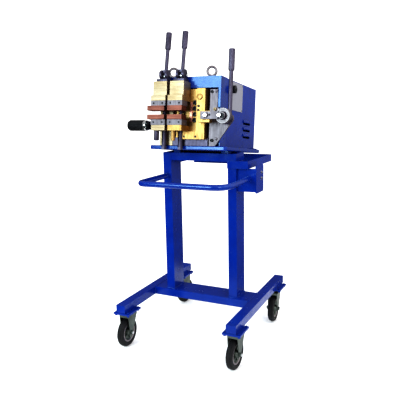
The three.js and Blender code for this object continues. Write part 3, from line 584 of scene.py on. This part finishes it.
def handle_welds(mesh):
    for x, y in ((HANDLE_X[0], POST_Y[0] - 1), (HANDLE_X[1], BRACKET_Y[0] - 1)):
        ring = [Vector((x + v.x, y, HANDLE_Z + v.y)) for v in circle_points(HANDLE_R, 0, 30)]
        weld_bead(mesh, ring, 2.8, closed=True)


def bracket_welds(mesh):
    x = BRACKET_X[0]
    for y in BRACKET_Y:
        seam = [(x, y, BRACKET_Z[0] + 6), (x, y, BRACKET_Z[1] - 6)]
        weld_bead(mesh, line_points(seam), 2.4)
    ring_seam = [(POST_X + POST_HALF, POST_Y[0] - 1, RING_Z[0]), (POST_X + POST_HALF, POST_Y[1], RING_Z[0])]
    weld_bead(mesh, line_points(ring_seam), 2.4)


def weld_seams():
    mesh = bmesh.new()
    for seam in (post_welds, beam_welds, handle_welds, bracket_welds):
        seam(mesh)
    piece("weld_beads", mesh, TROLLEY, BLUE, "frame")


def quadratic(a, b, c, steps):
    """Points of a bend between two straights that meet at b."""
    return [a.lerp(b, t / steps).lerp(b.lerp(c, t / steps), t / steps) for t in range(1, steps)]


def smooth_handle():
    """The bent tube, finer than the CAD solid it stands for."""
    left, right = HANDLE_X
    bend_left, bend_right = HANDLE_BENDS

    def at(x, y):
        return Vector((x, y, HANDLE_Z))

    start = at(left, POST_Y[0] - 0.3)
    into_left = at(left, HANDLE_FRONT_Y + bend_left)
    out_left = at(left + bend_left, HANDLE_FRONT_Y)
    into_right = at(right - bend_right, HANDLE_FRONT_Y)
    out_right = at(right, HANDLE_FRONT_Y + bend_right)
    end = at(right, BRACKET_Y[0] - 0.3)
    path = line_points([start, into_left], 20)
    path += quadratic(into_left, at(left, HANDLE_FRONT_Y), out_left, 16)
    path += line_points([out_left, into_right], 20)
    path += quadratic(into_right, at(right, HANDLE_FRONT_Y), out_right, 20)
    path += line_points([out_right, end], 20)
    mesh = bmesh.new()
    sweep(mesh, path, [HANDLE_R] * len(path), 32)
    handle = piece("handle_tube", mesh, TROLLEY, WIPED_BLUE, "frame")
    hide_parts("push_handle")


def bracket_bolts():
    mesh = bmesh.new()
    for z in (855, 885):
        hex_bolt(mesh, facing(BRACKET_X[1], -225, z, "+x"), 10, 4.5, 8)
    piece("bracket_bolts", mesh, TROLLEY, BRIGHT, "frame")


# ---------------------------------------------------------------- wheels
WHEEL_R = 75
TYRE_HALF = 17
RIM_R = 50


def joint_named(name):
    return next(j for j in frame["joints"] if j["name"] == name)


def wheel_matrix(corner):
    """Wheel axes in millimetres: z along the axle, at the wheel's centre."""
    joint = joint_named(f"wheel_spin_{corner}")
    axis = Vector(joint["axis"])
    turn = axis.to_track_quat("Z", "Y").to_matrix().to_4x4()
    return Matrix.Translation(Vector(joint["pos_m"])) @ turn @ Matrix.Scale(MM, 4)


def tyre_profile():
    """Round-shouldered section with two thin grooves beside the crown."""
    points = [(-TYRE_HALF + 4, RIM_R)]
    crown, steps = WHEEL_R - 20, 28
    for i in range(steps + 1):
        angle = math.pi * i / steps
        swell = abs(math.sin(angle)) ** 0.62
        x = -TYRE_HALF * math.copysign(abs(math.cos(angle)) ** 0.75, math.cos(angle))
        radius = crown + (WHEEL_R - crown) * swell
        if i in (steps // 2 - 3, steps // 2 + 3):
            radius -= 1.6
        points.append((x, radius))
    points.append((TYRE_HALF - 4, RIM_R))
    return points


def wheel_tyre(corner, place):
    mesh = bmesh.new()
    lathe(mesh, Matrix.Identity(4), tyre_profile(), 96)
    for side in (-1, 1):
        sweep(mesh, circle_points(RIM_R + 6, side * (TYRE_HALF - 2.4)), [1.1] * 72, 6, closed=True)
    tyre = piece(f"tyre_rubber_{corner}", mesh, place, RUBBER, f"wheel_{corner}")
    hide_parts(f"tyre_{corner}")


def wheel_rim(corner, place):
    """Pressed rim with a dished web, five ribs, a bearing boss and bearing rings."""
    half, boss, web = 13, 22.5, 4
    mesh = bmesh.new()
    lathe(mesh, Matrix.Identity(4), [
        (-half, RIM_R - 0.3), (-half, RIM_R - 5), (-half + 3, RIM_R - 8), (-web, RIM_R - 14), (-web, 20),
        (-boss + 2, 17), (-boss, 15.5), (-boss, 6.4), (boss, 6.4), (boss, 15.5), (boss - 2, 17), (web, 20),
        (web, RIM_R - 14), (half - 3, RIM_R - 8), (half, RIM_R - 5), (half, RIM_R - 0.3),
    ], 72)
    for i in range(5):
        turn = Matrix.Rotation(2 * math.pi * i / 5, 4, "Z")
        rib = bmesh.new()
        block(rib, (16, -2.2, -10), (38, 2.2, 10), 1)
        rib.transform(turn)
        data = bpy.data.meshes.new("rib")
        rib.to_mesh(data)
        rib.free()
        mesh.from_mesh(data)
        bpy.data.meshes.remove(data)
    rim = piece(f"rim_{corner}", mesh, place, ZINC, f"wheel_{corner}")
    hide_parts(f"wheel_hub_{corner}")
    lip = bmesh.new()
    for side in (-1, 1):
        low, high = sorted((side * (half - 1), side * (half + 0.8)))
        lathe(lip, Matrix.Identity(4), [
            (low, RIM_R - 0.6), (high, RIM_R - 0.6), (high, RIM_R - 6), (low, RIM_R - 7.5),
        ], 72)
    piece(f"rim_lip_{corner}", lip, place, TURNED, f"wheel_{corner}")


def caster_hardware(corner, place):
    """Bright axle bolt ends and the double ball race under the pad."""
    mesh = bmesh.new()
    flip = Matrix.Rotation(math.pi, 4, "X")
    hex_bolt(mesh, Matrix.Translation((0, 0, 35)), 14, 3, 0)
    hex_bolt(mesh, flip @ Matrix.Translation((0, 0, 37)), 12, 3, 0)
    piece(f"axle_caps_{corner}", mesh, place, BRIGHT, f"swivel_{corner}")
    joint = joint_named(f"swivel_turn_{corner}")
    swivel = Matrix.Translation(Vector(joint["pos_m"])) @ Matrix.Scale(MM, 4)
    race = bmesh.new()
    sweep(race, circle_points(26.5, -3), [2.4] * 72, 10, closed=True)
    sweep(race, circle_points(28.2, -9), [1.6] * 72, 8, closed=True)
    piece(f"ball_race_{corner}", race, swivel, ZINC, f"swivel_{corner}")


def wheels():
    for corner in CORNERS:
        place = wheel_matrix(corner)
        wheel_tyre(corner, place)
        wheel_rim(corner, place)
        caster_hardware(corner, place)


# ---------------------------------------------------------------- head details
CLAMP_X = {"left": -330, "right": -238}
CLAMP_BODY = {"left": "frame", "right": "platen"}
ROD_Y = -18
HOLDER_FRONT_Y = -88
CAB_LEFT, CAB_RIGHT = -400, -40
CAB_REAR = 505
CAB_TOP = 355
LOUVRE_Z = (168, 132, 96)
LOUVRE_Y = 375
LOUVRE_HALF = 52
LOUVRE_HEIGHT = 20
LOUVRE_DEPTH = 8
EYE_X = {"left": -352, "right": -135}
EYE_Y = 105
EYE_TURN = math.radians(25)
DIAL = (-37.2, 136, 308)
SHAFT = (7, 153.57)  # x and z, as are the journal's and the link pin's
JOURNAL = (3, 160.5)
LINK_PIN = (-80, 163)
STOP_SCREW = (16, 120)  # y and z
LINK_FRONT_Y = -76
RING_FRONT_Y = -63


def holder_screws(side):
    """Two cap screws in the front of each steel holder."""
    x = CLAMP_X[side]
    rows = {"upper": (221, f"jaw_{side}"), "lower": (129.5, CLAMP_BODY[side])}
    for row, (z, body) in rows.items():
        mesh = bmesh.new()
        for dx in (-24, 24):
            socket_screw(mesh, facing(x + dx, HOLDER_FRONT_Y, z, "-y"), 4.6, 1.2)
        piece(f"holder_screws_{row}_{side}", mesh, HEAD, BLACK_OXIDE, body)


def thrust_plate(side):
    """Hard steel pad that the cam presses on, screwed to the jaw's top."""
    x = CLAMP_X[side]
    mesh = bmesh.new()
    block(mesh, (x - 29.4, -56.4, 328.3), (x + 29.4, -1.6, 341.8), 1.2)
    for dx, dy in ((-24, -51), (24, -51)):
        revolve(mesh, facing(x + dx, dy, 341.5, "+z"), [(-1, 3), (0.35, 3), (0.4, 1.5)], 20)
    piece(f"thrust_plate_{side}", mesh, HEAD, DARK_STEEL, f"jaw_{side}")


def return_spring(side):
    """Coil spring round the pull rod, between the ledge and the jaw."""
    x = CLAMP_X[side]
    low, high, radius, wire, turns, steps = 118.5, 230.5, 11.2, 1.7, 11, 24
    path = []
    for i in range(turns * steps + 1):
        angle = 2 * math.pi * i / steps
        rise = i / (turns * steps)
        path.append(Vector((x + radius * math.cos(angle), ROD_Y + radius * math.sin(angle),
                            low + (high - low) * rise)))
    mesh = bmesh.new()
    sweep(mesh, path, [wire] * len(path), 8)
    spring = piece(f"return_spring_{side}", mesh, HEAD, DARK_STEEL, CLAMP_BODY[side])
    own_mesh(spring)


def spring_sleeve():
    """Dark sleeve over the spring housing under the left ledge."""
    mesh = bmesh.new()
    place = Matrix.Translation((CLAMP_X["left"] - 20, -60, 0))
    lathe(mesh, place, [(42.3, 11.1), (42.3, 12.2), (44, 12.9), (87, 12.9), (89.5, 12.2), (89.5, 11.1)], 40)
    revolve(mesh, place, [(40.6, 4), (41.2, 8), (42.2, 8)], 32)
    piece("spring_sleeve", mesh, HEAD, DARK_STEEL, "frame")


def cam_eye(side):
    """Bright pull rod eye that shows between the cam cheeks, and the pin's polished ends."""
    x = CLAMP_X[side]
    mesh = bmesh.new()
    centre = facing(x - 8.4, ROD_Y, 359, "+x")
    lathe(mesh, centre, [(0, 12), (0.6, 12.9), (16.2, 12.9), (16.8, 12), (16.8, 6), (0, 6)], 40)
    for direction, start in (("+x", x + 25), ("-x", x - 25)):
        revolve(mesh, facing(start, ROD_Y, 359, direction), [(-3, 5.6), (0, 7), (1.4, 7), (2.2, 5.6)], 32)
    piece(f"cam_eye_{side}", mesh, HEAD, BRIGHT, CLAMP_BODY[side])


def louvre_hoods():
    """Pressed louvres: rounded hoods that stand off both cabinet sides, open at the bottom."""
    mesh = bmesh.new()
    for wall, outward in ((CAB_RIGHT, 1), (CAB_LEFT, -1)):
        for z in LOUVRE_Z:
            louvre_hood(mesh, wall, outward, z - LOUVRE_HEIGHT / 2)
    hoods = piece("louvre_hoods", mesh, HEAD, BLUE, "frame")
    thick = hoods.modifiers.new("sheet", "SOLIDIFY")
    thick.thickness = 0.0008


def louvre_hood(mesh, wall, outward, bottom_z, steps=20, arc_steps=8):
    """Adds one hood: a quarter round in section that closes towards both ends."""
    rows = []
    for i in range(steps + 1):
        along = -1 + 2 * i / steps
        swell = max(0.02, 1 - abs(along) ** 3) ** 0.5
        y = LOUVRE_Y + along * LOUVRE_HALF
        row = []
        for k in range(arc_steps + 1):
            turn = math.pi / 2 * k / arc_steps
            out = LOUVRE_DEPTH * swell * math.sin(turn) + 0.2
            rise = LOUVRE_HEIGHT * swell * math.cos(turn)
            row.append(mesh.verts.new((wall + outward * out, y, bottom_z + rise)))
        rows.append(row)
    for low, high in zip(rows, rows[1:]):
        for k in range(arc_steps):
            mesh.faces.new((low[k], low[k + 1], high[k + 1], high[k]))


def ledge_pins(side):
    """Ground pin heads on the clamp ledge's front."""
    x = CLAMP_X[side]
    ledge = bmesh.new()
    for dx in (-30, 30):
        revolve(ledge, facing(x + dx, -85, 103, "-y"), [(-0.5, 2.4), (0.25, 2.4), (0.4, 1.6)], 20)
    piece(f"ledge_pins_{side}", ledge, HEAD, BRASS, CLAMP_BODY[side])


def platen_hardware():
    """Busbar bolts, adjusting screws, a black screw head painted in as the dowel hole's shade, foot screws
    and the round boss.
    """
    bolts = bmesh.new()
    for z in (229, 201, 173, 145):
        socket_screw(bolts, facing(-167, -2, z, "-y"), 11.5, 12)
    for z in (211, 191):
        socket_screw(bolts, facing(-141, -25, z, "-y"), 6, 4)
    for x in (-216, -154):
        socket_screw(bolts, facing(x, -25, 64, "-y"), 5.2, 1.2)
    # Painted shade: a flat black screw head stands in for the dark inside of the dowel hole.
    socket_screw(bolts, facing(-133, -25, 166, "-y"), 5, 1)
    piece("platen_bolts", bolts, HEAD, BLACK_OXIDE, "platen")
    boss = bmesh.new()
    rings = [(-1, 14), (0.6, 14), (1.6, 12.5), (1.6, 8), (0.4, 6.5)]
    revolve(boss, facing(-136, -29, 255, "-y"), rings, 48)
    piece("platen_boss_cap", boss, HEAD, BRASS_CAST, "platen")


def bearing_hardware():
    screws = bmesh.new()
    socket_screw(screws, facing(-82, 0, 281, "-y"), 7, 6)
    socket_screw(screws, facing(-76, 0, 48, "-y"), 8, 7)
    piece("bearing_plate_screws", screws, HEAD, BLACK_OXIDE, "frame")
    light = bmesh.new()
    hex_bolt(light, facing(-62, 0, 283, "-y"), 11, 5, 7.5)
    hex_bolt(light, facing(-54, 0, 56, "-y"), 11, 5, 7.5)
    piece("bearing_plate_bolts", light, HEAD, STEEL, "frame")
    nipple = bmesh.new()
    hex_bolt(nipple, facing(-63, 0, 197, "-y"), 15, 9)
    revolve(nipple, facing(-63, -9, 197, "-y"), [(0, 4), (5, 3.6), (6.5, 2)], 24)
    piece("brass_oiler", nipple, HEAD, BRASS, "frame")


def link_hardware():
    """Turned ring on the big end, the bright pin head and its lock screw."""
    x, z = JOURNAL
    ring = bmesh.new()
    place = facing(x, RING_FRONT_Y, z, "-y")
    lathe(ring, place, [(-1, 36.6), (1.2, 36.6), (2, 35.6), (2, 30), (0.8, 29), (0.8, 23), (-1, 22)], 72)
    piece("link_ring", ring, HEAD, TURNED, "link")
    cap = bmesh.new()
    hex_bolt(cap, facing(LINK_PIN[0], LINK_FRONT_Y - 9, LINK_PIN[1], "-y"), 20, 2, 0)
    piece("link_pin_cap", cap, HEAD, BRIGHT, "link")
    lock = bmesh.new()
    socket_screw(lock, facing(LINK_PIN[0] + 21, LINK_FRONT_Y, LINK_PIN[1] + 1, "-y"), 5, 1.4)
    piece("link_lock_screw", lock, HEAD, BLACK_OXIDE, "link")


def journal_hardware():
    """Black disc that paints the shade of the journal's centre bore, the washer on the journal's face, its
    bright nut, and the drum's bands.
    """
    x, z = JOURNAL
    face = facing(x, -79, z, "-y")
    washer = bmesh.new()
    lathe(washer, face, [(-1, 17.6), (1, 17.6), (1.6, 16.8), (1.6, 13), (0.3, 12), (-1, 12)], 60)
    piece("journal_washer", washer, HEAD, TURNED, "feed")
    # Painted shade: a black disc fills the centre bore, where only the bore's dark inside would show.
    bore_shade = bmesh.new()
    rings = [(-0.5, 12), (2.2, 12), (3, 11), (3, 6), (1.2, 5), (1.2, 2)]
    revolve(bore_shade, facing(x + 4, -79, z - 1, "-y"), rings, 48)
    piece("journal_bore_shade", bore_shade, HEAD, BLACK_OXIDE, "feed")
    nut = bmesh.new()
    hex_bolt(nut, facing(x - 10, -87, z + 1, "-y"), 20, 1.6, 0)
    piece("journal_nut_cap", nut, HEAD, BRIGHT, "feed")
    drum = bmesh.new()
    band = [(-1.6, 30.8), (-0.8, 31.7), (0.8, 31.7), (1.6, 30.8)]
    for y in (-42, -23):
        lathe(drum, facing(SHAFT[0], y, SHAFT[1], "-y"), band, 72)
    piece("drum_bands", drum, HEAD, DARK_STEEL, "feed")


def eye_bolt(side):
    """Smooth forged ring with its collar, neck and stem."""
    x = EYE_X[side]
    mesh = bmesh.new()
    centre = Matrix.Translation((x, EYE_Y, CAB_TOP + 42)) @ Matrix.Rotation(EYE_TURN, 4, "Z")
    ring = [centre @ Vector((v.x, 0, v.y)) for v in circle_points(22.5, 0, 64)]
    sweep(mesh, ring, [6] * 64, 20, closed=True)
    revolve(mesh, Matrix.Translation((x, EYE_Y, CAB_TOP)), [
        (0.4, 13.5), (1.2, 15), (6, 15), (8.8, 12), (10, 9), (14, 7.6), (19, 8.5),
    ], 40)
    revolve(mesh, Matrix.Translation((x, EYE_Y, CAB_TOP)), [(-29, 5.2), (1, 5.2)], 24)
    eye = piece(f"lifting_eye_{side}", mesh, HEAD, TURNED, "frame")
    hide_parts(f"eye_bolt_{side}")


def dial_marks():
    """Plain tick marks round the selector, the knob's pointer and the panel's corner screws."""
    x, y, z = DIAL
    ticks = bmesh.new()
    for i in range(8):
        angle = math.radians(-150 + i * 43)
        outward = Vector((0, math.sin(angle), math.cos(angle)))
        middle = Vector((x, y, z)) + outward * 25
        turn = Matrix.Rotation(-angle, 4, "X")
        made = bmesh.ops.create_cube(ticks, size=1)
        size = Matrix.Diagonal((0.4, 1.1, 4.5, 1))
        bmesh.ops.transform(ticks, matrix=Matrix.Translation(middle) @ turn @ size, verts=made["verts"])
    piece("dial_ticks", ticks, HEAD, BLACK_OXIDE, "frame")
    pointer = bmesh.new()
    block(pointer, (x + 21.8, y - 0.9, z + 3), (x + 22.6, y + 0.9, z + 16), 0.2)
    lathe(pointer, facing(x + 0.4, y, z, "+x"), [(0, 21), (2.2, 21), (3.6, 19.6), (3.6, 17), (0, 17)], 48)
    piece("dial_pointer", pointer, HEAD, PANEL, "dial")
    screws = bmesh.new()
    for corner_y in (124, 284):
        for corner_z in (216, 342):
            pan_screw(screws, facing(CAB_RIGHT + 2.6, corner_y, corner_z, "+x"), 3)
    piece("panel_screws", screws, HEAD, ZINC, "frame")


def cabinet_screws():
    """Sheet-metal screws round the back panel and along the hood's edges."""
    mesh = bmesh.new()
    for x in (-386, -303, -220, -137, -54):
        for z in (36, 338):
            pan_screw(mesh, facing(x, CAB_REAR - 5, z, "+y"), 3.6)
    for x in (-386, -54):
        for z in (137, 238):
            pan_screw(mesh, facing(x, CAB_REAR - 5, z, "+y"), 3.6)
    for z in (60, 150):
        pan_screw(mesh, facing(CAB_RIGHT, 60, z, "+x"), 3.6)
    piece("cabinet_screws", mesh, HEAD, ZINC, "frame")


def stop_knob_hardware():
    """Bright locking collar and nut behind the black grip."""
    mesh = bmesh.new()
    collar = [(0, 25.6), (3, 26.6), (15, 26.6), (18, 25.6), (18, 9), (0, 9)]
    lathe(mesh, facing(-468, *STOP_SCREW, "+x"), collar, 64)
    nut = hexagon(42.6)
    revolve(mesh, facing(-451, *STOP_SCREW, "+x"), [(0, nut), (4, nut), (5, 20)], 48)
    piece("stop_collar", mesh, HEAD, BRIGHT, "stop_screw")


def shunt_leaves():
    """Stack of thin copper leaves between the transformer and the platen, fixed to the frame."""
    mesh = bmesh.new()
    inner, outer, leaves = 7.1, 14.8, 6
    gap = (outer - inner) / leaves
    for k in range(leaves):
        r = inner + gap * (k + 0.5)
        path = [Vector((-193 + 4 * i, 55.2 + r, 0)) for i in range(11)]
        for i in range(1, 16):
            angle = math.pi / 2 - math.pi * i / 16
            path.append(Vector((-150 + r * math.cos(angle), 55.2 + r * math.sin(angle), 0)))
        path += [Vector((-153 - 4 * i, 55.2 - r, 0)) for i in range(11)]
        strip(mesh, path, gap * 0.8, 160, 206)
    leaf = piece("shunt_leaves", mesh, HEAD, COPPER, "frame")
    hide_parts("flexible_shunt")


def strip(mesh, path, thickness, z0, z1):
    """Adds a flat strip that follows a path in the level plane."""
    rows = []
    for i, point in enumerate(path):
        along = (path[min(i + 1, len(path) - 1)] - path[max(i - 1, 0)]).normalized()
        side = Vector((-along.y, along.x, 0)) * thickness / 2
        rows.append([mesh.verts.new(p) for p in (
            point + side + Vector((0, 0, z0)), point + side + Vector((0, 0, z1)),
            point - side + Vector((0, 0, z1)), point - side + Vector((0, 0, z0)))])
    for low, high in zip(rows, rows[1:]):
        for i in range(4):
            j = (i + 1) % 4
            mesh.faces.new((low[i], low[j], high[j], high[i]))
    mesh.faces.new(list(reversed(rows[0])))
    mesh.faces.new(rows[-1])


def head_details():
    for side in SIDES:
        holder_screws(side)
        thrust_plate(side)
        return_spring(side)
        ledge_pins(side)
        cam_eye(side)
        eye_bolt(side)
    spring_sleeve()
    louvre_hoods()
    platen_hardware()
    bearing_hardware()
    link_hardware()
    journal_hardware()
    dial_marks()
    cabinet_screws()
    stop_knob_hardware()
    shunt_leaves()


# ---------------------------------------------------------------- floor, light, world
FLOOR_RADIUS = 0.95
SKY = 1.13


def make_floor():
    mesh = bmesh.new()
    bmesh.ops.create_circle(mesh, cap_ends=True, segments=96, radius=FLOOR_RADIUS)
    data = bpy.data.meshes.new("floor")
    mesh.to_mesh(data)
    mesh.free()
    data.materials.append(pale_floor())
    floor = bpy.data.objects.new("floor", data)
    bpy.context.scene.collection.objects.link(floor)


def area_light(name, place, target, size, power, colour=(1, 1, 1)):
    data = bpy.data.lights.new(name, "AREA")
    data.shape = "RECTANGLE"
    data.size, data.size_y = size
    data.energy = power
    data.color = colour
    light = bpy.data.objects.new(name, data)
    light.location = place
    light.rotation_mode = "QUATERNION"
    light.rotation_quaternion = (Vector(target) - Vector(place)).to_track_quat("-Z", "Y")
    bpy.context.scene.collection.objects.link(light)


def make_world():
    """Even white light; shiny faces mirror darker surroundings that grow lighter to the right."""
    world = bpy.data.worlds.new("studio")
    world.use_nodes = True
    tree = world.node_tree

    def math_node(operation, a, b):
        node = tree.nodes.new("ShaderNodeMath")
        node.operation = operation
        for value, socket in ((a, node.inputs[0]), (b, node.inputs[1])):
            if isinstance(value, (int, float)):
                socket.default_value = value
            else:
                tree.links.new(value, socket)
        return node.outputs[0]

    direction = tree.nodes.new("ShaderNodeSeparateXYZ")
    tree.links.new(tree.nodes.new("ShaderNodeTexCoord").outputs["Generated"], direction.inputs[0])
    to_the_right = map_range(tree, direction.outputs["X"], -0.1, 0.8, 0, 0.75)
    above_floor = map_range(tree, direction.outputs["Z"], -0.32, 0.06, 0.1, 1)
    overhead = map_range(tree, direction.outputs["Z"], 0.25, 0.9, 0.06, 0.6)
    mirrored = math_node("ADD", math_node("MULTIPLY", to_the_right, above_floor), overhead)
    path = tree.nodes.new("ShaderNodeLightPath")
    glossy = path.outputs["Is Glossy Ray"]
    soft = math_node("MULTIPLY", math_node("SUBTRACT", 1, glossy), SKY)
    tree.links.new(math_node("ADD", soft, math_node("MULTIPLY", glossy, mirrored)),
                   tree.nodes["Background"].inputs["Strength"])
    tree.nodes["Background"].inputs["Color"].default_value = (1, 1, 1, 1)
    bpy.context.scene.world = world


def make_light():
    make_world()
    bpy.context.scene.view_settings.view_transform = "Standard"
    bpy.context.scene.view_settings.look = "High Contrast"
    area_light("front left", (-1.15, -3.7, 2.0), (0, -0.15, 1.2), (1.5, 1.9), 92, (0.78, 0.97, 1.0))
    area_light("front right", (2.9, -3.4, 2.6), (0, 0, 0.9), (1.2, 1.8), 32, (1, 0.98, 0.95))
    area_light("right", (3.4, -0.2, 2.6), (0, 0, 1.0), (1.6, 1.6), 10)


# ---------------------------------------------------------------- build
make_camera()
finish_nodes()
weld_seams()
smooth_handle()
bracket_bolts()
wheels()
head_details()
make_floor()
make_light()
